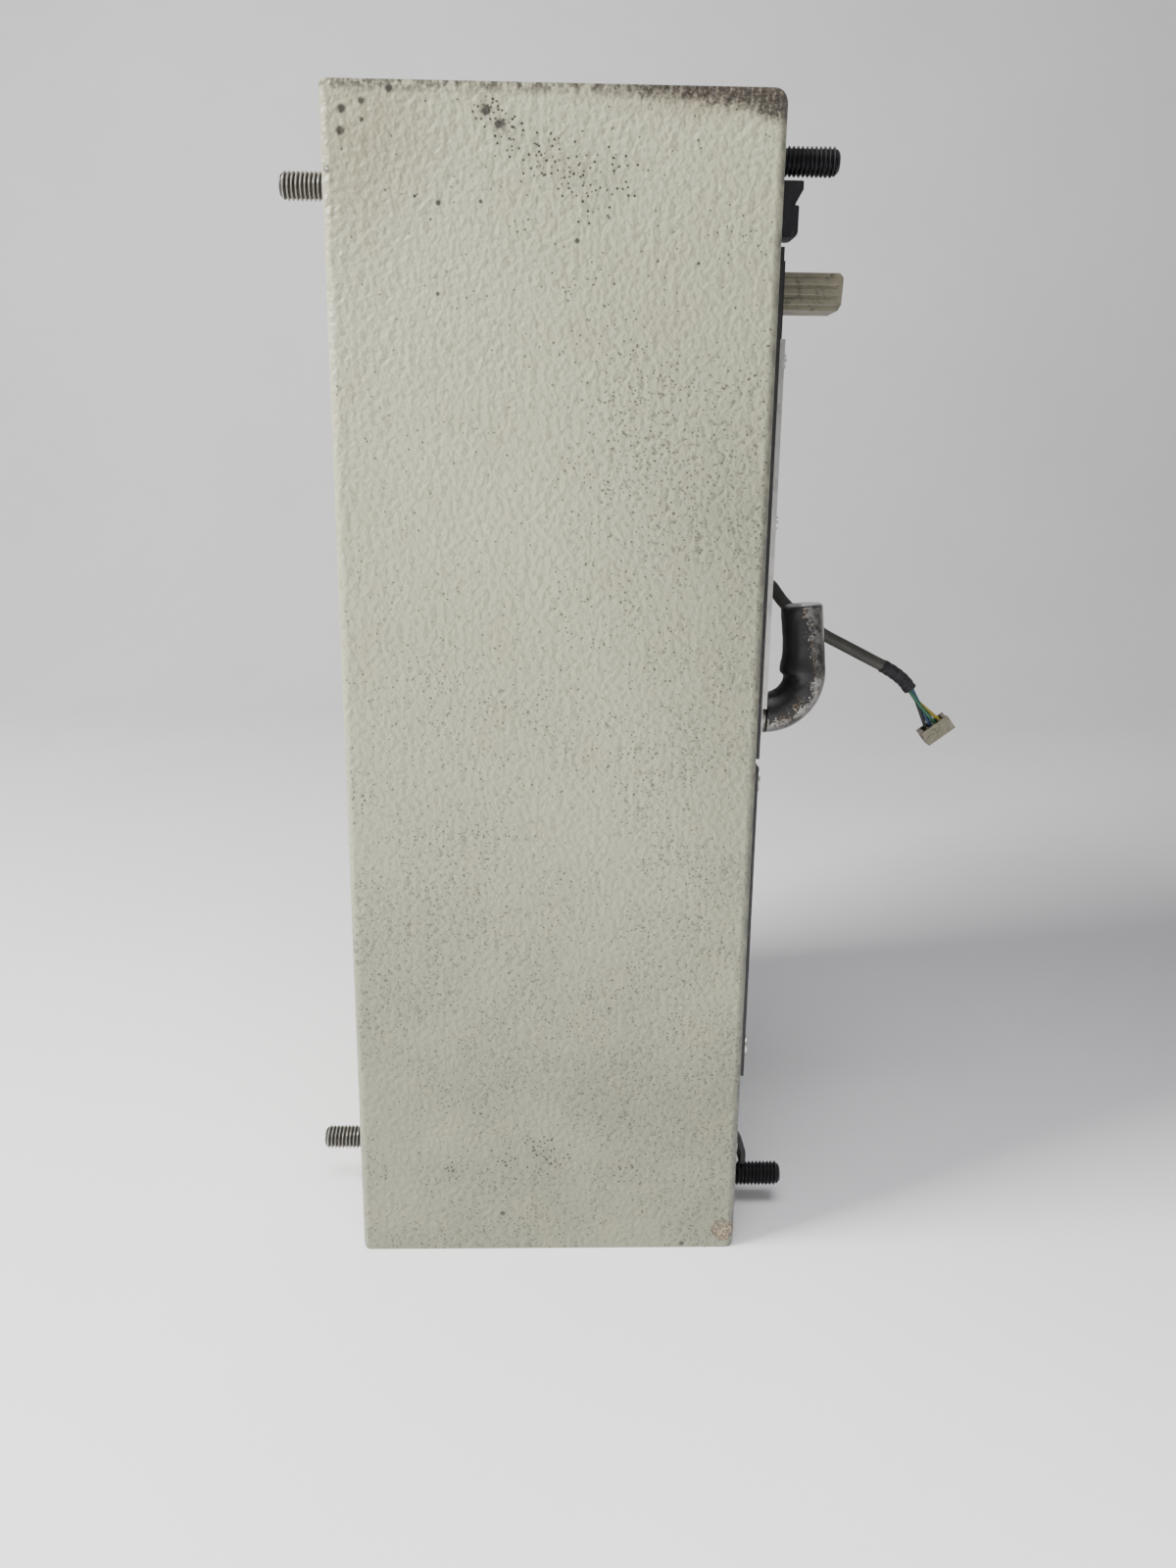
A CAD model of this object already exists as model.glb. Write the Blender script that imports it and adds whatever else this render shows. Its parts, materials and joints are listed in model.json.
import json
import math

import bpy
from mathutils import Matrix, Vector, noise


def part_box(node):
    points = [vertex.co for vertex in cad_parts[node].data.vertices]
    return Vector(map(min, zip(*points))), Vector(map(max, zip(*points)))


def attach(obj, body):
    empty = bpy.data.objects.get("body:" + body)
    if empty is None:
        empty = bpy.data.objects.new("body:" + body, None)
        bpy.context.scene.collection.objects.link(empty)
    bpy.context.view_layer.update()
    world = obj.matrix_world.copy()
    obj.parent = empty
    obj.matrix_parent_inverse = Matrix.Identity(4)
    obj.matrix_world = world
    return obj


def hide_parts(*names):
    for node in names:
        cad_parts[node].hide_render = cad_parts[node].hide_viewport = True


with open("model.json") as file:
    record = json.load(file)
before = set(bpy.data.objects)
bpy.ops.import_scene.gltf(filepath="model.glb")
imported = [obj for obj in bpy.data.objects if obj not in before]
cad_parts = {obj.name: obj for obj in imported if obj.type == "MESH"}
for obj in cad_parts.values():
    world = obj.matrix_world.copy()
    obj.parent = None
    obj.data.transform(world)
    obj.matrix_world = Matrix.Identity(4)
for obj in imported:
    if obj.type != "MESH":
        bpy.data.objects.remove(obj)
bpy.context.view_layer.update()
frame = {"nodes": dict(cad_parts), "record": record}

MM = 0.001
shell_low, shell_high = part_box("shell")
FRONT = shell_low.y
REAR = shell_high.y
LEFT = shell_low.x
TOP = shell_high.z
BOTTOM = shell_low.z
MIDDLE_Y = (FRONT + REAR) / 2
SHEET = 2 * MM


# ---------------------------------------------------------------- camera

CAMERA_BACK = 345.6 * MM      # from the side plate
CAMERA_UP = 248.9 * MM        # above the surface that the box stands on
CAMERA_PITCH = math.radians(15.01)
CAMERA_YAW = math.radians(-1.77)
CAMERA_ROLL = math.radians(0.73)
LENS = 28.125                 # on a 36 mm sensor


def make_camera():
    data = bpy.data.cameras.new("camera")
    data.lens = LENS
    data.sensor_width = 36
    camera = bpy.data.objects.new("camera", data)
    bpy.context.scene.collection.objects.link(camera)
    # Picture frame of the side view: right is -Y, down is -Z, away is +X.
    base = Matrix(((0, 0, 1), (-1, 0, 0), (0, -1, 0)))
    turn = (Matrix.Rotation(CAMERA_ROLL, 3, "Z") @ Matrix.Rotation(CAMERA_PITCH, 3, "X")
            @ Matrix.Rotation(CAMERA_YAW, 3, "Y"))
    right, down, away = (base @ row for row in turn)
    camera.matrix_world = Matrix((right, -down, -away)).transposed().to_4x4()
    camera.location = (LEFT - CAMERA_BACK, MIDDLE_Y, BOTTOM + CAMERA_UP)
    bpy.context.scene.camera = camera


# ---------------------------------------------------------------- shader tools

def add(tree, kind, inputs=None, **settings):
    """A shader node with its settings, and its inputs linked or set by name."""
    made = tree.nodes.new("ShaderNode" + kind)
    for name, value in settings.items():
        setattr(made, name, value)
    for name, value in (inputs or {}).items():
        if isinstance(value, bpy.types.NodeSocket):
            tree.links.new(value, made.inputs[name])
        else:
            made.inputs[name].default_value = value
    return made


def noise_of(tree, place, scale, detail=2.0, rough=0.5):
    made = add(tree, "TexNoise", {"Vector": place, "Scale": scale, "Detail": detail, "Roughness": rough})
    return made.outputs["Fac"]


def cells_of(tree, place, scale):
    """Distance to the nearest point, and that point's random value."""
    made = add(tree, "TexVoronoi", {"Vector": place, "Scale": scale})
    colour = add(tree, "SeparateColor", {"Color": made.outputs["Color"]})
    return made.outputs["Distance"], colour.outputs["Red"]


def step(tree, value, start, end, low=0.0, high=1.0):
    made = add(tree, "MapRange", {"Value": value, "From Min": start, "From Max": end,
                                  "To Min": low, "To Max": high})
    return made.outputs["Result"]


def calc(tree, operation, first, second=0.0):
    made = add(tree, "Math", operation=operation)
    for socket, value in zip(made.inputs, (first, second)):
        if isinstance(value, bpy.types.NodeSocket):
            tree.links.new(value, socket)
        else:
            socket.default_value = value
    return made.outputs[0]


def times(tree, *values):
    total = values[0]
    for value in values[1:]:
        total = calc(tree, "MULTIPLY", total, value)
    return total


def most(tree, *values):
    total = values[0]
    for value in values[1:]:
        total = calc(tree, "MAXIMUM", total, value)
    return total


def blend(tree, amount, first, second):
    made = add(tree, "Mix", data_type="RGBA")
    for index, value in ((0, amount), (6, first), (7, second)):
        if isinstance(value, bpy.types.NodeSocket):
            tree.links.new(value, made.inputs[index])
        else:
            made.inputs[index].default_value = value if index == 0 else (*value, 1)
    return made.outputs[2]


def new_material(name):
    """A material's node tree, its shader and the object's own coordinates in metres."""
    material = bpy.data.materials.new(name)
    material.use_nodes = True
    tree = material.node_tree
    shader = tree.nodes["Principled BSDF"]
    place = add(tree, "TexCoord").outputs["Object"]
    return material, tree, shader, place


def bump(tree, shader, height, distance):
    made = add(tree, "Bump", {"Height": height, "Distance": distance, "Strength": 1.0})
    tree.links.new(made.outputs["Normal"], shader.inputs["Normal"])


def connect(tree, shader, **inputs):
    for name, value in inputs.items():
        socket = shader.inputs[name.replace("_", " ")]
        if isinstance(value, bpy.types.NodeSocket):
            tree.links.new(value, socket)
        else:
            socket.default_value = value


# ---------------------------------------------------------------- materials

def dots_of(tree, place, per_metre, radius, share):
    """Round dots, one in each cell that the share picks; share may be a socket."""
    distance, pick = cells_of(tree, place, per_metre)
    size = radius * per_metre
    chosen = calc(tree, "LESS_THAN", pick, share)
    return times(tree, step(tree, distance, size * 1.25, size * 0.7), chosen)


def near(tree, place, at_y, at_z, reach, core):
    """1 within core of a place on the left side plate, falling to 0 at reach, in millimetres."""
    centre = (LEFT, at_y * MM, at_z * MM)
    away = add(tree, "VectorMath", {0: place, 1: centre}, operation="DISTANCE").outputs["Value"]
    return step(tree, away, reach * MM, core * MM)


# Marks on the left side plate in millimetres: Y, Z, radius or reach.
ROUND_SPOTS = ((-6, 163, 1.3), (-11, 160.6, 0.7), (-5.5, 158, 1.3), (-11, 165, 1.0), (-18, 168, 1.2),
               (-1.5, 149, 1.1), (-24, 143, 0.5), (-30, 141.5, 0.8), (-28, 137.5, 0.4), (-29.5, 119.5, 0.6),
               (-41, 142, 0.6), (-45, -157, 0.9), (-103, -168.5, 1.0), (-98, 128, 0.5), (-66, 133, 0.8))
SOOT_PATCHES = ((-42.5, 163.5, 4.5, 1.0), (-46, 160, 5, 1.0), (-50, 157, 6, 0.7), (-58, 153, 10, 0.62),
                (-66, 149, 11, 0.66), (-74, 148, 9, 0.6), (-71, 142, 7, 0.5))
LOW_MARKS = ((-29.2, -141.5, 4, 0.9), (-45, -136, 6, 0.35), (-59.5, -135.7, 9, 0.55), (-84.6, -143, 7, 0.5))


def powder_coat():
    """Off-white orange-peel coat with dirt in its pits, soot and grime near the top and a chipped corner."""
    material, tree, shader, place = new_material("powder_coat")
    axes = add(tree, "SeparateXYZ", {"Vector": place}).outputs
    y, z = axes["Y"], axes["Z"]
    ragged = noise_of(tree, place, 330, 6.0, 0.75)
    flecks = noise_of(tree, place, 1100, 3.0, 0.7)
    patchy = noise_of(tree, place, 20, 4.0, 0.6)

    peel = noise_of(tree, place, 530, 1.0, 0.4)
    fine_peel = noise_of(tree, place, 1300, 1.0)

    # Dirt in the pits: dense towards the front and low down, in patches.
    towards_front = step(tree, y, REAR - 55 * MM, FRONT + 8 * MM)
    low_down = step(tree, z, 60 * MM, BOTTOM + 60 * MM)
    front_dirt = times(tree, towards_front, step(tree, z, TOP - 25 * MM, TOP - 80 * MM), 0.60)
    share = calc(tree, "ADD", times(tree, most(tree, front_dirt, times(tree, low_down, 0.45)),
                                    step(tree, patchy, 0.42, 0.60, 0.05, 1.0)), 0.012)
    valleys = times(tree, step(tree, peel, 0.385, 0.31), step(tree, share, 0.05, 0.34))
    round_pits = dots_of(tree, place, 560, 0.36 * MM, times(tree, share, 0.5))
    pits = most(tree, round_pits, times(tree, valleys, 0.55))
    fine_pits = dots_of(tree, place, 950, 0.28 * MM, share)
    film = times(tree, most(tree, times(tree, towards_front, 0.78), low_down),
                 step(tree, z, TOP - 10 * MM, TOP - 110 * MM))
    specks = dots_of(tree, place, 150, 0.32 * MM, 0.07)

    spots = 0.0
    for at_y, at_z, radius in ROUND_SPOTS:
        spots = most(tree, spots, near(tree, place, at_y, at_z, radius * 1.15, radius * 0.6))
    spots = times(tree, spots, step(tree, flecks, 0.30, 0.42, 0.5, 1.0))

    # Soot: black crumbs that merge where the patch is thick.
    soot = 0.0
    for at_y, at_z, reach, strength in SOOT_PATCHES + LOW_MARKS:
        soot = most(tree, soot, times(tree, near(tree, place, at_y, at_z, reach, 0), strength))
    crumbs = dots_of(tree, place, 950, 0.36 * MM, times(tree, soot, 0.85))
    clumps = step(tree, calc(tree, "ADD", soot, ragged), 1.14, 1.30)
    soot_haze = times(tree, step(tree, soot, 0.05, 0.6), 0.22)

    # Grime along the top edge, thickest at the front corner, and on the rear top corner.
    near_top = step(tree, z, TOP - 14 * MM, TOP - 0.5 * MM)
    along = step(tree, y, -30 * MM, FRONT + 6 * MM)
    band = times(tree, near_top, step(tree, along, 0.0, 1.0, 0.34, 1.0))
    corner = near(tree, place, -116, 168, 15, 2)
    grime = step(tree, calc(tree, "ADD", most(tree, band, times(tree, corner, 0.92)), ragged), 1.06, 1.26)
    stain = step(tree, calc(tree, "ADD", band, patchy), 0.85, 1.4, 0.0, 0.55)
    edge_grime = times(tree, step(tree, z, TOP - 3.6 * MM, TOP - 1.0 * MM), step(tree, ragged, 0.44, 0.53))
    on_left = step(tree, axes["X"], LEFT + 14 * MM, LEFT + 2 * MM, 0.2, 1.0)
    grime = times(tree, most(tree, grime, times(tree, edge_grime, 0.92)), on_left)
    grime = times(tree, grime, step(tree, flecks, 0.38, 0.50, 0.62, 1.0))
    stain = times(tree, stain, on_left)
    rear_stain = times(tree, near(tree, place, -4, 158, 34, 4), step(tree, patchy, 0.35, 0.6), 0.45)

    # Grey-black rub along the front bend.
    on_bend = step(tree, calc(tree, "ABSOLUTE", axes["X"]), -LEFT - 2.4 * MM, -LEFT - 1.6 * MM)
    near_front = times(tree, step(tree, y, FRONT + 2.6 * MM, FRONT + 0.8 * MM), on_bend)
    rub = times(tree, near_front, step(tree, noise_of(tree, place, 190, 5.0, 0.7), 0.30, 0.58), 0.85)

    # Chip at the lower front corner, down to rusty metal.
    to_corner = add(tree, "VectorMath", {0: place, 1: (LEFT, FRONT + 3.5 * MM, BOTTOM + 6 * MM)},
                    operation="DISTANCE").outputs["Value"]
    torn = calc(tree, "ADD", to_corner, times(tree, calc(tree, "SUBTRACT", ragged, 0.5), 14 * MM))
    chip = step(tree, torn, 3.6 * MM, 3.0 * MM)
    rust = times(tree, chip, step(tree, flecks, 0.42, 0.55))

    tint = noise_of(tree, place, 11, 3.0, 0.55)
    base = blend(tree, step(tree, tint, 0.35, 0.65), (0.425, 0.430, 0.292), (0.470, 0.475, 0.335))
    film = times(tree, film, step(tree, patchy, 0.3, 0.7, 0.6, 0.95))
    base = blend(tree, film, base, (0.182, 0.193, 0.133))
    yellowed = times(tree, step(tree, noise_of(tree, place, 60, 5.0, 0.65), 0.50, 0.70), 0.28)
    base = blend(tree, yellowed, base, (0.36, 0.30, 0.185))
    base = blend(tree, times(tree, step(tree, peel, 0.42, 0.30), 0.35), base, (0.25, 0.24, 0.175))
    base = blend(tree, most(tree, stain, rear_stain), base, (0.185, 0.130, 0.082))
    base = blend(tree, times(tree, pits, 0.80), base, (0.055, 0.045, 0.031))
    base = blend(tree, times(tree, fine_pits, 0.82), base, (0.045, 0.038, 0.027))
    base = blend(tree, times(tree, most(tree, specks, spots), 0.92), base, (0.035, 0.032, 0.028))
    base = blend(tree, soot_haze, base, (0.17, 0.15, 0.12))
    base = blend(tree, times(tree, most(tree, crumbs, clumps), 0.94), base, (0.022, 0.020, 0.018))
    base = blend(tree, times(tree, grime, 0.96), base, (0.030, 0.022, 0.018))
    base = blend(tree, rub, base, (0.10, 0.095, 0.085))
    base = blend(tree, chip, base, (0.40, 0.33, 0.21))
    base = blend(tree, times(tree, rust, 0.9), base, (0.075, 0.045, 0.025))

    dirt = most(tree, grime, clumps)
    height = calc(tree, "ADD", peel, times(tree, fine_peel, 0.14))
    height = calc(tree, "SUBTRACT", height, times(tree, chip, 0.8))
    bump(tree, shader, height, 0.78 * MM)
    connect(tree, shader, Base_Color=base, Roughness=step(tree, dirt, 0.0, 1.0, 0.40, 0.8),
            Coat_Weight=0.12, Coat_Roughness=0.35)
    return material


def plated_steel(name="zinc_plate", colour=(0.60, 0.59, 0.55), dirt=0.5, rough=0.36):
    """Dull plated steel with stains, fine scratches and dark dirt."""
    material, tree, shader, place = new_material(name)
    cloud = noise_of(tree, place, 110, 5.0, 0.65)
    stain = step(tree, noise_of(tree, place, 320, 5.0, 0.7), 0.55, 0.75)
    scratch_place = add(tree, "Mapping", {"Vector": place, "Scale": (1, 1, 14)}).outputs[0]
    scratch = noise_of(tree, scratch_place, 420, 3.0, 0.7)
    base = blend(tree, step(tree, cloud, 0.3, 0.7), colour, tuple(0.72 * c for c in colour))
    base = blend(tree, times(tree, stain, dirt), base, (0.06, 0.05, 0.04))
    bump(tree, shader, scratch, 0.03 * MM)
    connect(tree, shader, Base_Color=base, Metallic=step(tree, times(tree, stain, dirt), 0, 1, 0.95, 0.2),
            Roughness=step(tree, cloud, 0.3, 0.7, rough - 0.06, rough + 0.14))
    return material


def stud_steel(name, crest, root_colour, metallic):
    """Thread with oil and dirt in its grooves; the mesh says how deep each point lies."""
    material, tree, shader, place = new_material(name)
    groove = add(tree, "Attribute", attribute_name="groove").outputs["Fac"]
    cloud = noise_of(tree, place, 500, 4.0, 0.7)
    uneven = times(tree, calc(tree, "SUBTRACT", cloud, 0.5), 0.9)
    dirty = step(tree, calc(tree, "ADD", groove, uneven), 0.22, 0.62)
    base = blend(tree, dirty, crest, root_colour)
    bump(tree, shader, cloud, 0.08 * MM)
    connect(tree, shader, Base_Color=base, Metallic=step(tree, dirty, 0, 1, metallic, 0.2),
            Roughness=step(tree, cloud, 0.3, 0.7, 0.30, 0.5))
    return material


def black_steel():
    """Blackened, oily steel with a little dust."""
    material, tree, shader, place = new_material("black_oxide")
    cloud = noise_of(tree, place, 300, 4.0, 0.65)
    dust = step(tree, noise_of(tree, place, 900, 4.0, 0.7), 0.58, 0.78)
    base = blend(tree, times(tree, dust, 0.55), (0.012, 0.012, 0.014), (0.11, 0.10, 0.085))
    bump(tree, shader, cloud, 0.12 * MM)
    connect(tree, shader, Base_Color=base, Metallic=0.25, Roughness=step(tree, cloud, 0.3, 0.7, 0.38, 0.62))
    return material


def black_paint():
    """Satin black paint, dusty, rubbed grey in places."""
    material, tree, shader, place = new_material("black_paint")
    cloud = noise_of(tree, place, 30, 5.0, 0.6)
    grain = noise_of(tree, place, 1500, 2.0, 0.6)
    dust = times(tree, step(tree, noise_of(tree, place, 220, 6.0, 0.75), 0.54, 0.72), 0.5)
    slanted = add(tree, "Mapping", {"Vector": place, "Rotation": (0, 0.9, 0), "Scale": (1, 1, 9)})
    scuff = noise_of(tree, slanted.outputs[0], 26, 5.0, 0.75)
    scuff = times(tree, step(tree, scuff, 0.68, 0.76), 0.35)
    base = blend(tree, step(tree, cloud, 0.35, 0.7), (0.016, 0.016, 0.017), (0.030, 0.029, 0.027))
    base = blend(tree, dust, base, (0.10, 0.092, 0.078))
    base = blend(tree, scuff, base, (0.20, 0.195, 0.18))
    bump(tree, shader, calc(tree, "ADD", grain, scuff), 0.06 * MM)
    connect(tree, shader, Base_Color=base, Roughness=step(tree, cloud, 0.3, 0.7, 0.42, 0.6))
    return material


def rubber(name="black_rubber", dark=(0.014, 0.013, 0.013), pale=(0.075, 0.068, 0.058), depth=0.35):
    """Matt rubber or foam with dust in its skin."""
    material, tree, shader, place = new_material(name)
    cells, pick = cells_of(tree, place, 1100)
    cloud = noise_of(tree, place, 260, 5.0, 0.7)
    base = blend(tree, step(tree, cloud, 0.45, 0.75), dark, pale)
    bump(tree, shader, calc(tree, "ADD", times(tree, cells, 0.5), cloud), depth * MM)
    connect(tree, shader, Base_Color=base, Roughness=step(tree, pick, 0, 1, 0.72, 0.92))
    return material


def moulded_plastic(name, colour, stained, rough, dirt_amount):
    """Moulded plastic with handling dirt that gathers in patches."""
    material, tree, shader, place = new_material(name)
    cloud = noise_of(tree, place, 90, 4.0, 0.6)
    grain = noise_of(tree, place, 1800, 2.0, 0.5)
    dirt = times(tree, step(tree, noise_of(tree, place, 420, 6.0, 0.75), 0.52, 0.74), dirt_amount)
    distance, pick = cells_of(tree, place, 700)
    speck = times(tree, step(tree, distance, 0.20, 0.12), step(tree, pick, 0.86, 0.88), dirt_amount)
    base = blend(tree, step(tree, cloud, 0.3, 0.72), colour, stained)
    base = blend(tree, dirt, base, tuple(0.30 * c for c in stained))
    base = blend(tree, speck, base, (0.02, 0.018, 0.015))
    bump(tree, shader, grain, 0.05 * MM)
    connect(tree, shader, Base_Color=base, Roughness=step(tree, cloud, 0.3, 0.7, rough - 0.05, rough + 0.12))
    return material


def greasy_chrome():
    """Bright plate under old black grease; the mesh says how thick the grease lies."""
    material, tree, shader, place = new_material("chrome_plate")
    grease = add(tree, "Attribute", attribute_name="grease").outputs["Fac"]
    fleck = noise_of(tree, place, 1300, 4.0, 0.75)
    uneven = times(tree, calc(tree, "SUBTRACT", fleck, 0.5), 1.9)
    covered = step(tree, calc(tree, "ADD", grease, uneven), 0.31, 0.47)
    haze = noise_of(tree, place, 260, 4.0, 0.6)
    metal = blend(tree, step(tree, haze, 0.38, 0.62), (0.37, 0.36, 0.335), (0.11, 0.10, 0.088))
    amber = times(tree, step(tree, grease, 0.25, 0.5), step(tree, haze, 0.45, 0.6))
    metal = blend(tree, times(tree, amber, 0.6), metal, (0.32, 0.22, 0.10))
    base = blend(tree, covered, metal, (0.006, 0.0055, 0.006))
    bump(tree, shader, calc(tree, "ADD", fleck, covered), 0.10 * MM)
    connect(tree, shader, Base_Color=base, Metallic=step(tree, covered, 0, 1, 1.0, 0.0),
            Roughness=step(tree, covered, 0, 1, 0.20, 0.40))
    return material


def make_materials():
    made = {
        "powder_coat": powder_coat(),
        "zinc_plate": plated_steel(),
        "black_oxide": black_steel(),
        "rear_thread": stud_steel("rear_thread", (0.40, 0.39, 0.36), (0.035, 0.032, 0.028), 0.9),
        "front_thread": stud_steel("front_thread", (0.030, 0.030, 0.033), (0.004, 0.004, 0.005), 0.4),
        "black_rubber": rubber(),
        "black_moulding": moulded_plastic("black_moulding", (0.018, 0.017, 0.017),
                                          (0.034, 0.031, 0.028), 0.42, 0.6),
        "ivory_plastic": moulded_plastic("ivory_plastic", (0.235, 0.218, 0.150),
                                         (0.145, 0.130, 0.088), 0.48, 0.9),
        "contact_metal": plated_steel("contact_metal", (0.72, 0.50, 0.24), 0.3, 0.30),
        "red_plastic": moulded_plastic("red_plastic", (0.42, 0.03, 0.02), (0.30, 0.02, 0.015), 0.30, 0.3),
        "black_paint": black_paint(),
        "chrome_plate": greasy_chrome(),
        "cable_jacket": moulded_plastic("cable_jacket", (0.052, 0.050, 0.040),
                                        (0.026, 0.025, 0.020), 0.5, 0.6),
        "sleeve_tape": rubber("sleeve_tape", (0.010, 0.010, 0.012), (0.03, 0.03, 0.03), 0.15),
    }
    for name, colour in (("yellow", (0.42, 0.32, 0.04)), ("green", (0.03, 0.14, 0.07)),
                         ("blue", (0.03, 0.07, 0.16)), ("black", (0.02, 0.02, 0.022))):
        stained = tuple(0.7 * c for c in colour)
        made["wire_" + name] = moulded_plastic("wire_" + name, colour, stained, 0.4, 0.4)
    return made


# ---------------------------------------------------------------- mesh tools

def build(name, vertices, faces, material, body, smooth=True):
    mesh = bpy.data.meshes.new(name)
    mesh.from_pydata([tuple(v) for v in vertices], [], faces)
    mesh.validate()
    mesh.polygons.foreach_set("use_smooth", [smooth] * len(mesh.polygons))
    mesh.materials.append(material)
    piece = bpy.data.objects.new(name, mesh)
    bpy.context.scene.collection.objects.link(piece)
    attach(piece, body)
    return piece


def add_values(piece, name, values):
    """A named number on each of the piece's vertices, for its material to read."""
    attribute = piece.data.attributes.new(name, "FLOAT", "POINT")
    attribute.data.foreach_set("value", values)


def skin(rings, first_vertex=0):
    """Faces that join equal rings of points in a row, with flat ends."""
    count = len(rings[0])
    faces = []
    for row in range(len(rings) - 1):
        a, b = first_vertex + row * count, first_vertex + (row + 1) * count
        faces += [(a + k, a + (k + 1) % count, b + (k + 1) % count, b + k) for k in range(count)]
    last = first_vertex + (len(rings) - 1) * count
    faces.append(tuple(first_vertex + k for k in reversed(range(count))))
    faces.append(tuple(last + k for k in range(count)))
    return faces


def smooth_route(points, spacing):
    """A Catmull-Rom curve through the points, in even short steps."""
    points = [Vector(p) for p in points]
    padded = [2 * points[0] - points[1]] + points + [2 * points[-1] - points[-2]]
    route = []
    for p0, p1, p2, p3 in zip(padded, padded[1:], padded[2:], padded[3:]):
        steps = max(2, round((p2 - p1).length / spacing))
        for i in range(steps):
            t = i / steps
            route.append(0.5 * (2 * p1 + (p2 - p0) * t + (2 * p0 - 5 * p1 + 4 * p2 - p3) * t * t
                                + (3 * p1 - p0 - 3 * p2 + p3) * t ** 3))
    return route + [points[-1]]


def tube_rings(route, radius, sides):
    """Rings around a route; radius is a number or a function of (fraction along, angle)."""
    rings = []
    side = Vector((1, 0, 0))
    for i, point in enumerate(route):
        along = (route[min(i + 1, len(route) - 1)] - route[max(i - 1, 0)]).normalized()
        side = (side - along * side.dot(along)).normalized()
        other = along.cross(side)
        ring = []
        for k in range(sides):
            angle = 2 * math.pi * k / sides
            r = radius(i / (len(route) - 1), angle) if callable(radius) else radius
            ring.append(point + r * (math.cos(angle) * side + math.sin(angle) * other))
        rings.append(ring)
    return rings


def at_front(x, out, z):
    """A point given in millimetres, its depth counted out from the front face."""
    return Vector((x * MM, FRONT - out * MM, z * MM))


# ---------------------------------------------------------------- studs

STUD_R = 4 * MM
PITCH = 1.25 * MM
HEAD_FLATS = 13 * MM
HEAD_H = 5.3 * MM


def stud_mesh(root, outward, length, worn_seed):
    """A hexagon-headed M8 stud: rings and faces, with a real helical thread and a chamfered tip."""
    sides, per_pitch = 40, 10
    depth = 0.61 * PITCH
    chamfer = 1.3 * MM
    wear = 0.10 * MM
    rows = int(length / PITCH * per_pitch)
    rings, grooves = [], []
    for row in range(rows + 1):
        along = length * row / rows
        ring = []
        for k in range(sides):
            angle = 2 * math.pi * k / sides
            phase = (along / PITCH - angle / (2 * math.pi)) % 1
            flank = min(1.0, max(0.0, 1.35 * abs(2 * phase - 1) - 0.12))
            grooves.append(flank)
            r = STUD_R - depth * flank
            r = min(r, STUD_R - chamfer + (length - along))
            r -= wear * max(0.0, noise.noise(Vector((along * 700, angle * 2, worn_seed))))
            ring.append(root + Vector((r * math.cos(angle), outward * along, r * math.sin(angle) * outward)))
        rings.append(ring)
    vertices = [p for ring in rings for p in ring]
    faces = skin(rings)
    corner_r = HEAD_FLATS / 2 / math.cos(math.pi / 6)
    first = len(vertices)
    head = []
    for depth_in, shrink in ((0, 0.94), (0.5 * MM, 1), (HEAD_H - 0.7 * MM, 1), (HEAD_H, 0.92)):
        ring = []
        for k in range(6):
            angle = k * math.pi / 3
            ring.append(root + Vector((shrink * corner_r * math.cos(angle), -outward * depth_in,
                                       -shrink * corner_r * math.sin(angle) * outward)))
        head.append(ring)
    vertices += [p for ring in head for p in ring]
    faces += skin(head, first)
    return vertices, faces, grooves + [0.0] * (len(vertices) - first)


def make_studs(node, outward, wall, material):
    low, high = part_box(node)
    inset = HEAD_FLATS / 2 / math.cos(math.pi / 6)
    xs = (low.x + inset, high.x - inset)
    zs = (low.z + HEAD_FLATS / 2, high.z - HEAD_FLATS / 2)
    length = (high.y - wall) if outward > 0 else (wall - low.y)
    vertices, faces, grooves = [], [], []
    for x in xs:
        for z in zs:
            more, their_faces, depths = stud_mesh(Vector((x, wall, z)), outward, length, x + z)
            faces += [tuple(len(vertices) + i for i in face) for face in their_faces]
            vertices += more
            grooves += depths
    piece = build("threaded_" + node, vertices, faces, material, "housing", smooth=False)
    add_values(piece, "groove", grooves)
    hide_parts(node)


# ---------------------------------------------------------------- lever

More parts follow.
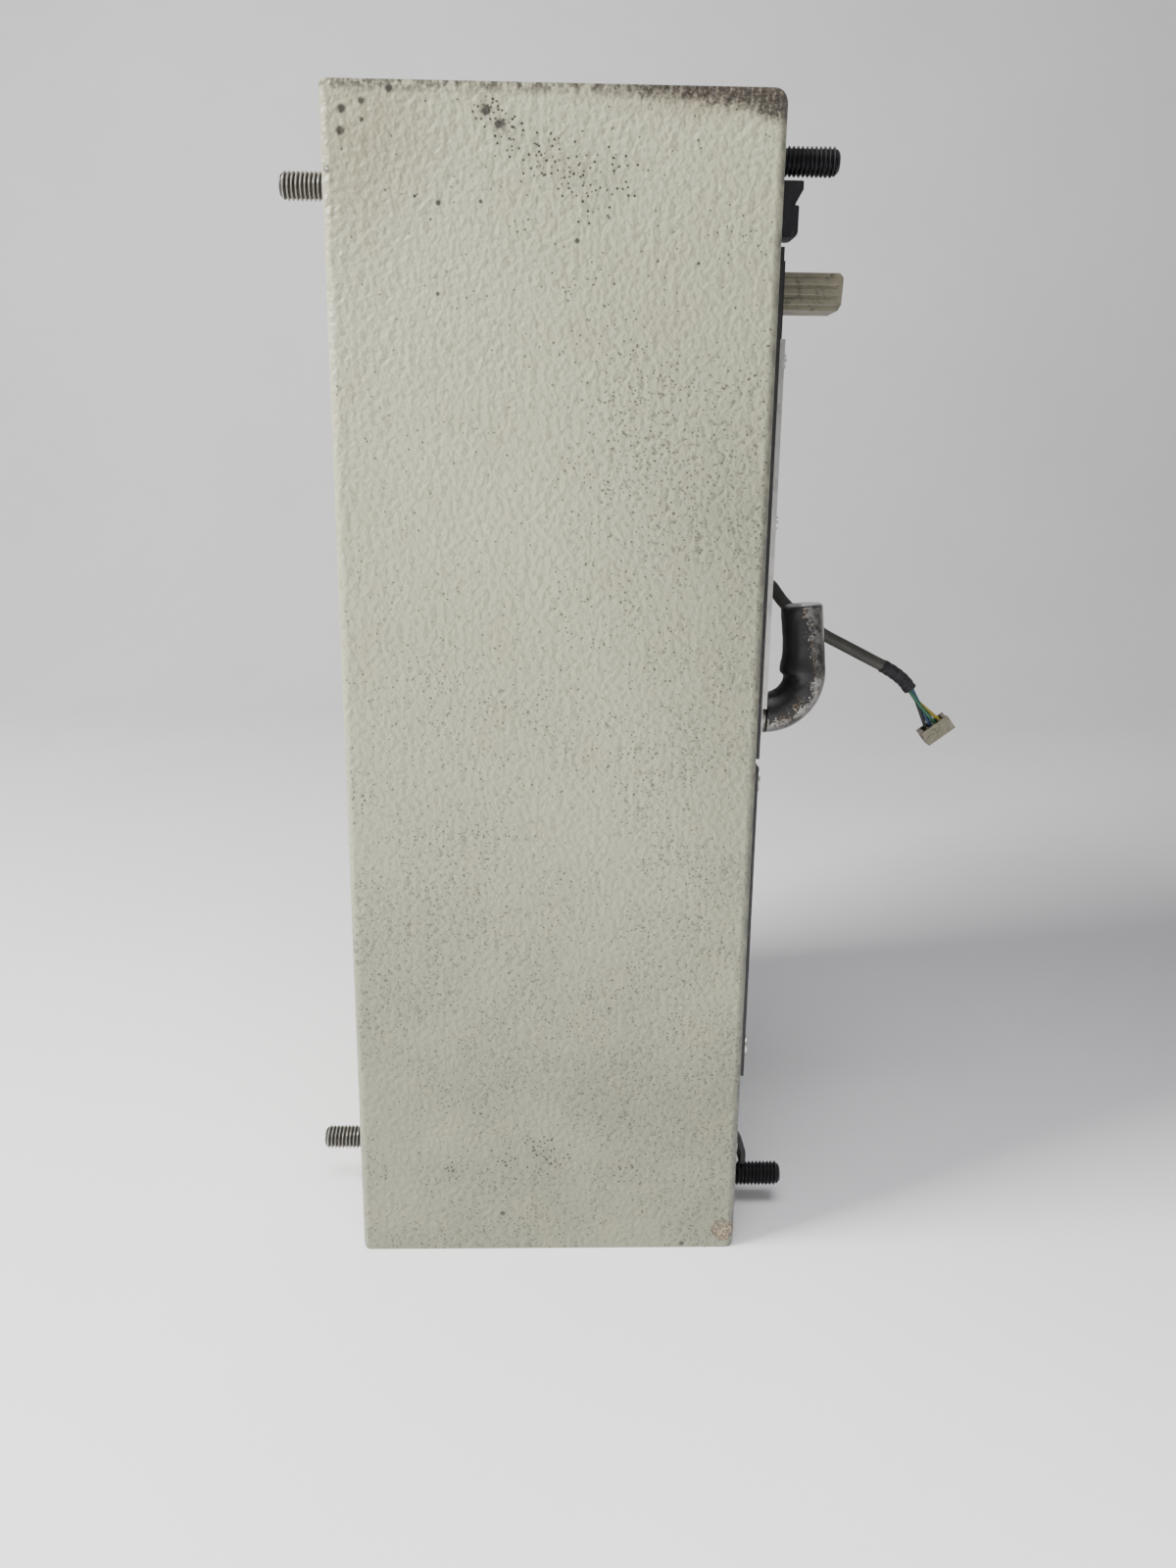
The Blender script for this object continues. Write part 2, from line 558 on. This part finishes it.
def make_lever(material):
    """The bent bar with a softened end, and a coat of old grease on its inner side."""
    low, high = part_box("lever")
    spindle_r = 4 * MM
    bar_r = (high.x - low.x) / 2
    bend_r = 13 * MM
    lean = math.radians(6)
    x = (low.x + high.x) / 2
    spindle_z = -0.6 * MM
    bend_out = 8.2 * MM
    rise = 35 * MM
    centre = Vector((x, FRONT - bend_out, spindle_z + bend_r))

    route = [Vector((x, FRONT - bend_out - 0.01 * MM, spindle_z))]
    turns = 40
    for i in range(1, turns + 1):
        angle = (math.pi / 2 + lean) * i / turns
        route.append(centre + bend_r * Vector((0, -math.sin(angle), -math.cos(angle))))
    direction = Vector((0, math.sin(lean), math.cos(lean)))
    straight = (rise - bend_r - bend_r * math.sin(lean)) / math.cos(lean)
    rows = 26
    start = route[-1]
    route += [start + direction * straight * i / rows for i in range(1, rows + 1)]

    sides = 56
    rings = tube_rings(route, bar_r, sides)
    end_inset = 0.7 * MM
    rings.append([p + (route[-1] - p) * (end_inset / bar_r) for p in rings[-1]])
    rings[-2] = [p - direction * end_inset for p in rings[-2]]
    for scale in (0.75, 0.5, 0.25):
        rings.append([route[-1] + (p - route[-1]) * scale for p in rings[len(route)]])

    # Cross position: -1 on the inner side of the bend, +1 on the outer side.
    grease = []
    for i, ring in enumerate(rings):
        k = min(i, len(route) - 1)
        along = (route[min(k + 1, len(route) - 1)] - route[max(k - 1, 0)]).normalized()
        outer = Vector((1, 0, 0)).cross(along).normalized()
        if outer.dot(Vector((0, -1, -0.5))) < 0:
            outer = -outer
        done = k / (len(route) - 1)
        for j, p in enumerate(ring):
            cross = (p - route[k]).dot(outer) / bar_r
            lumps = noise.noise(p * 260) * 0.35 + noise.noise(p * 900) * 0.18
            cover = 0.62 - 0.95 * cross + lumps - (0.55 if done > 0.93 else 0.0) * (1 + cross)
            cover = max(0.0, min(1.0, cover))
            grease.append(cover)
            lump_at = math.exp(-((done - 0.62) / 0.07) ** 2) * max(0.0, -cross)
            thick = (0.25 * cover + 1.5 * lump_at + 0.5 * cover * max(0.0, -cross) * (1 + lumps)) * MM
            if i < len(route):
                ring[j] = p + (p - route[k]).normalized() * thick * (1 if cross < 0.55 else 0)
    vertices = [p for ring in rings for p in ring]
    faces = skin(rings)

    shank_sides = 40
    shank_grease = 0.3
    shank_end = FRONT + 3.9 * MM
    shank = [Vector((x, y, spindle_z)) for y in (FRONT - bend_out, shank_end)]
    shank_rings = tube_rings(shank, spindle_r, shank_sides)
    faces += skin(shank_rings, len(vertices))
    vertices += [p for ring in shank_rings for p in ring]
    grease += [shank_grease] * (len(shank) * shank_sides)
    piece = build("bent_lever", vertices, faces, material, "lever_body")
    add_values(piece, "grease", grease)
    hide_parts("lever")


# ---------------------------------------------------------------- signal lead

LEAD_X = -44
LEAD_ROUTE = [(9.5, 39.5), (11.5, 38.5), (13.5, 36), (16, 33), (21, 28.5), (26, 25),
              (31, 22), (36, 19.5), (41, 17), (46, 14.5), (50, 12.5)]
SLEEVE_ROUTE = [(50, 12.5), (54, 10.2), (57.5, 7.5), (60, 4.6)]
WIRES_ROUTE = [(60, 4.6), (62.6, 0.6), (65.6, -3.5), (68.2, -6.9)]
LEAD_D = 4 * MM
WIRE_D = 1.25 * MM


def make_lead(materials):
    points = [at_front(LEAD_X, *p) for p in LEAD_ROUTE + SLEEVE_ROUTE[1:]]
    route = smooth_route(points, 0.6 * MM)
    rings = tube_rings(route, LEAD_D / 2, 24)
    lead = build("signal_lead_jacket", [p for r in rings for p in r], skin(rings),
                 materials["cable_jacket"], "door_body")
    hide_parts("signal_lead")

    tape_turns = 5.5

    def wrapped(done, angle):
        turn = (done * tape_turns + angle / (2 * math.pi)) % 1
        ragged = 0.05 * MM * noise.noise(Vector((math.cos(angle) * 3, math.sin(angle) * 3, done * 30)))
        return LEAD_D / 2 + 0.12 * MM + 0.22 * MM * turn + ragged

    sleeve_points = [at_front(LEAD_X, *p) for p in SLEEVE_ROUTE]
    sleeve_rings = tube_rings(smooth_route(sleeve_points, 0.25 * MM), wrapped, 40)
    sleeve = build("taped_sleeve", [p for r in sleeve_rings for p in r], skin(sleeve_rings),
                   materials["sleeve_tape"], "door_body")
    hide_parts("lead_sleeve")

    # Four wires leave the tape in a bunch and fan out to the housing's ways.
    bunch_r = 0.75 * MM
    fan_pitch = 1.9 * MM
    base_points = [at_front(LEAD_X, *p) for p in WIRES_ROUTE]
    entry = (base_points[-1] - base_points[-2]).normalized()
    across = Vector((1, 0, 0)).cross(entry).normalized()
    for i, colour in enumerate(("yellow", "green", "blue", "black")):
        angle = math.pi / 4 + math.pi / 2 * i
        bunch = Vector((math.cos(angle) * bunch_r, 0, 0)) + across * math.sin(angle) * bunch_r
        spread = across * (i - 1.5) * fan_pitch
        line = []
        for k, p in enumerate(base_points):
            fan = (k / (len(base_points) - 1)) ** 1.4
            bow = math.sin(math.pi * k / 3) * 0.5 * MM * (-1) ** i
            line.append(p + bunch * (1 - fan) + spread * fan + Vector((bow, 0, 0)))
        line[0] = line[0] - (base_points[1] - base_points[0]).normalized() * 0.5 * MM
        line[-1] = line[-1] + entry * 1.6 * MM
        wire_rings = tube_rings(smooth_route(line, 0.4 * MM), WIRE_D / 2, 14)
        build("wire_" + colour, [p for r in wire_rings for p in r], skin(wire_rings),
                           materials["wire_" + colour], "door_body")
    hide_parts("lead_wires")
    housing = make_connector(materials["ivory_plastic"], base_points[-1], entry, across)


def make_connector(material, rear, entry, across):
    """Four-way wire housing: open ways at the rear, ribs along one face, softened edges."""
    long_side, thick, deep = 10.6 * MM, 6.2 * MM, 5.2 * MM
    way_depth = 2.6 * MM
    rib = 0.35 * MM
    key_w, key_inset, key_rise = 1.0 * MM, 0.3 * MM, 0.5 * MM
    side = Vector((1, 0, 0))

    def place(u, v, w):
        return rear + side * u + across * v + entry * w

    vertices, faces = [], []

    def block(u, v, w):
        first = len(vertices)
        vertices.extend(place(a, b, c) for c in w for b in v for a in u)
        faces.extend(tuple(first + i for i in face) for face in
                     ((0, 2, 3, 1), (4, 5, 7, 6), (0, 1, 5, 4), (2, 6, 7, 3), (0, 4, 6, 2), (1, 3, 7, 5)))

    half_u, half_v, wall, way = thick / 2, long_side / 2, 0.7 * MM, 2.2 * MM
    block((-half_u, half_u), (-half_v, half_v), (way_depth, deep))
    for u in ((-half_u, -half_u + wall), (half_u - wall, half_u)):
        block(u, (-half_v, half_v), (0, way_depth))
    for i in range(5):
        at = (i - 2) * way
        width = 0.35 * MM if 0 < i < 4 else 0.6 * MM
        block((-half_u + wall, half_u - wall), (at - width, at + width), (0, way_depth))
    for i in range(4):
        at = (i - 1.5) * way
        block((-half_u - rib, -half_u), (at - rib, at + rib), (0.9 * MM, deep - 0.6 * MM))
    first_key = (-half_v + key_inset, -half_v + key_inset + key_w)
    second_key = (half_v - key_inset - key_w, half_v - key_inset)
    for v in (first_key, second_key):
        block((half_u, half_u + key_rise), v, (0.4 * MM, deep))
    piece = build("four_way_housing", vertices, faces, material, "door_body", smooth=False)
    soften(piece, 0.18 * MM)
    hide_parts("connector")
    return piece


# ---------------------------------------------------------------- finishing of CAD nodes

def soften(piece, width, weld=False):
    if weld:
        joined = piece.modifiers.new("join", "WELD")
        joined.merge_threshold = 0.002 * MM
        flat = piece.modifiers.new("flat", "DECIMATE")
        flat.decimate_type = "DISSOLVE"
        flat.angle_limit = math.radians(0.5)
    rounded = piece.modifiers.new("edges", "BEVEL")
    rounded.width = width
    rounded.segments = 2
    rounded.limit_method = "ANGLE"
    rounded.angle_limit = math.radians(40)
    rounded.use_clamp_overlap = True
    rounded.harden_normals = True


def paint_nodes(materials):
    finish_of = {row["node"]: row["material_slot"] for row in frame["record"]["subparts"]}
    other = {"cable_jacket": "cable_jacket", "wire_insulation": "wire_black"}
    for name, piece in frame["nodes"].items():
        slot_name = finish_of[name]
        material = materials[other.get(slot_name, slot_name)]
        piece.data.materials.clear()
        piece.data.materials.append(material)


def make_toggle_grips(material):
    """Raised lengthwise grips on both sides of the toggle's finger tab."""
    low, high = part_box("toggle")
    tab_low, tab_high = 121.2 * MM, 131.8 * MM
    margin = 1.5 * MM
    bands = 3
    gap = 0.9 * MM
    rise = 0.35 * MM
    edge = 0.3 * MM
    y1, y2 = low.y + 1.6 * MM, FRONT - 7.4 * MM
    height = (tab_high - tab_low - 2 * margin - gap * (bands - 1)) / bands
    vertices, faces = [], []
    for sign, x in ((-1, low.x), (1, high.x)):
        for i in range(bands):
            z1 = tab_low + margin + i * (height + gap)
            z2 = z1 + height
            first = len(vertices)
            for dx, inset in ((0, 0), (rise * 0.7, 0), (rise, edge)):
                vertices += [Vector((x + sign * dx, y, z)) for y, z in
                             ((y1 + inset, z1 + inset), (y2 - inset, z1 + inset),
                              (y2 - inset, z2 - inset), (y1 + inset, z2 - inset))]
            for row in (0, 4):
                a = first + row
                faces += [(a + k, a + (k + 1) % 4, a + 4 + (k + 1) % 4, a + 4 + k) for k in range(4)]
            faces.append(tuple(first + 8 + k for k in range(4)))
            faces.append(tuple(first + k for k in reversed(range(4))))
    build("toggle_grips", vertices, faces, material, "toggle_body", smooth=False)


# ---------------------------------------------------------------- stage and light

WINDOW_SIZE = 0.5
WINDOW_POWER = 36             # watts
OVERHEAD_SIZE = 0.8
OVERHEAD_POWER = 9            # watts
OVERHEAD_SPREAD = math.radians(70)
ROOM_STRENGTH = 0.25


def make_stage():
    """A pale sheet: flat under the box, then swept up behind it."""
    material, tree, shader, place = new_material("pale_paper")
    mottled = step(tree, noise_of(tree, place, 6, 4.0, 0.6), 0.3, 0.7)
    base = blend(tree, mottled, (0.84, 0.83, 0.85), (0.88, 0.87, 0.89))
    connect(tree, shader, Base_Color=base, Roughness=0.75)
    near_edge, bend_at, bend_r, far_up = -1.2, 0.75, 0.5, 1.9
    half_width = 2.2
    bend_steps = 24
    profile = [(near_edge, 0.0), (bend_at, 0.0)]
    for i in range(1, bend_steps + 1):
        angle = math.pi / 2 * i / bend_steps
        profile.append((bend_at + bend_r * math.sin(angle), bend_r * (1 - math.cos(angle))))
    profile.append((bend_at + bend_r, far_up))
    vertices = [(x, y, BOTTOM + z) for x, z in profile for y in (-half_width, half_width)]
    faces = [(2 * i, 2 * i + 2, 2 * i + 3, 2 * i + 1) for i in range(len(profile) - 1)]
    mesh = bpy.data.meshes.new("paper_sweep")
    mesh.from_pydata(vertices, [], faces)
    mesh.polygons.foreach_set("use_smooth", [True] * len(mesh.polygons))
    mesh.materials.append(material)
    sweep = bpy.data.objects.new("paper_sweep", mesh)
    bpy.context.scene.collection.objects.link(sweep)


def area_light(name, place, target, size, power, colour):
    data = bpy.data.lights.new(name, "AREA")
    data.size = size
    data.energy = power
    data.color = colour
    light = bpy.data.objects.new(name, data)
    light.location = place
    light.rotation_euler = (Vector(target) - Vector(place)).to_track_quat("-Z", "Y").to_euler()
    bpy.context.scene.collection.objects.link(light)
    return light


def make_lights():
    area_light("window", (-0.33, 0.85, 0.80), (0, MIDDLE_Y, 0.05), WINDOW_SIZE, WINDOW_POWER,
               (1.0, 0.985, 0.955))
    overhead = area_light("overhead", (-0.85, -0.05, 1.15), (-0.80, -0.05, BOTTOM), OVERHEAD_SIZE,
                          OVERHEAD_POWER, (0.97, 0.98, 1.0))
    overhead.data.spread = OVERHEAD_SPREAD
    world = bpy.data.worlds.new("room")
    world.use_nodes = True
    background = world.node_tree.nodes["Background"].inputs
    background["Color"].default_value = (0.93, 0.95, 1.0, 1)
    background["Strength"].default_value = ROOM_STRENGTH
    bpy.context.scene.world = world


# ---------------------------------------------------------------- the object

make_camera()
materials = make_materials()
paint_nodes(materials)
make_lead(materials)
make_studs("rear_studs", 1, REAR - SHEET, materials["rear_thread"])
make_studs("front_studs", -1, FRONT + SHEET, materials["front_thread"])
make_lever(materials["chrome_plate"])
make_toggle_grips(materials["ivory_plastic"])
for name, width in (("toggle", 0.5), ("door", 0.4), ("lower_cover", 0.4), ("latch_plate", 0.25),
                    ("breaker_cover", 0.5), ("upper_lug", 0.6), ("lower_lug", 0.3)):
    soften(frame["nodes"][name], width * MM, weld=True)
make_stage()
make_lights()
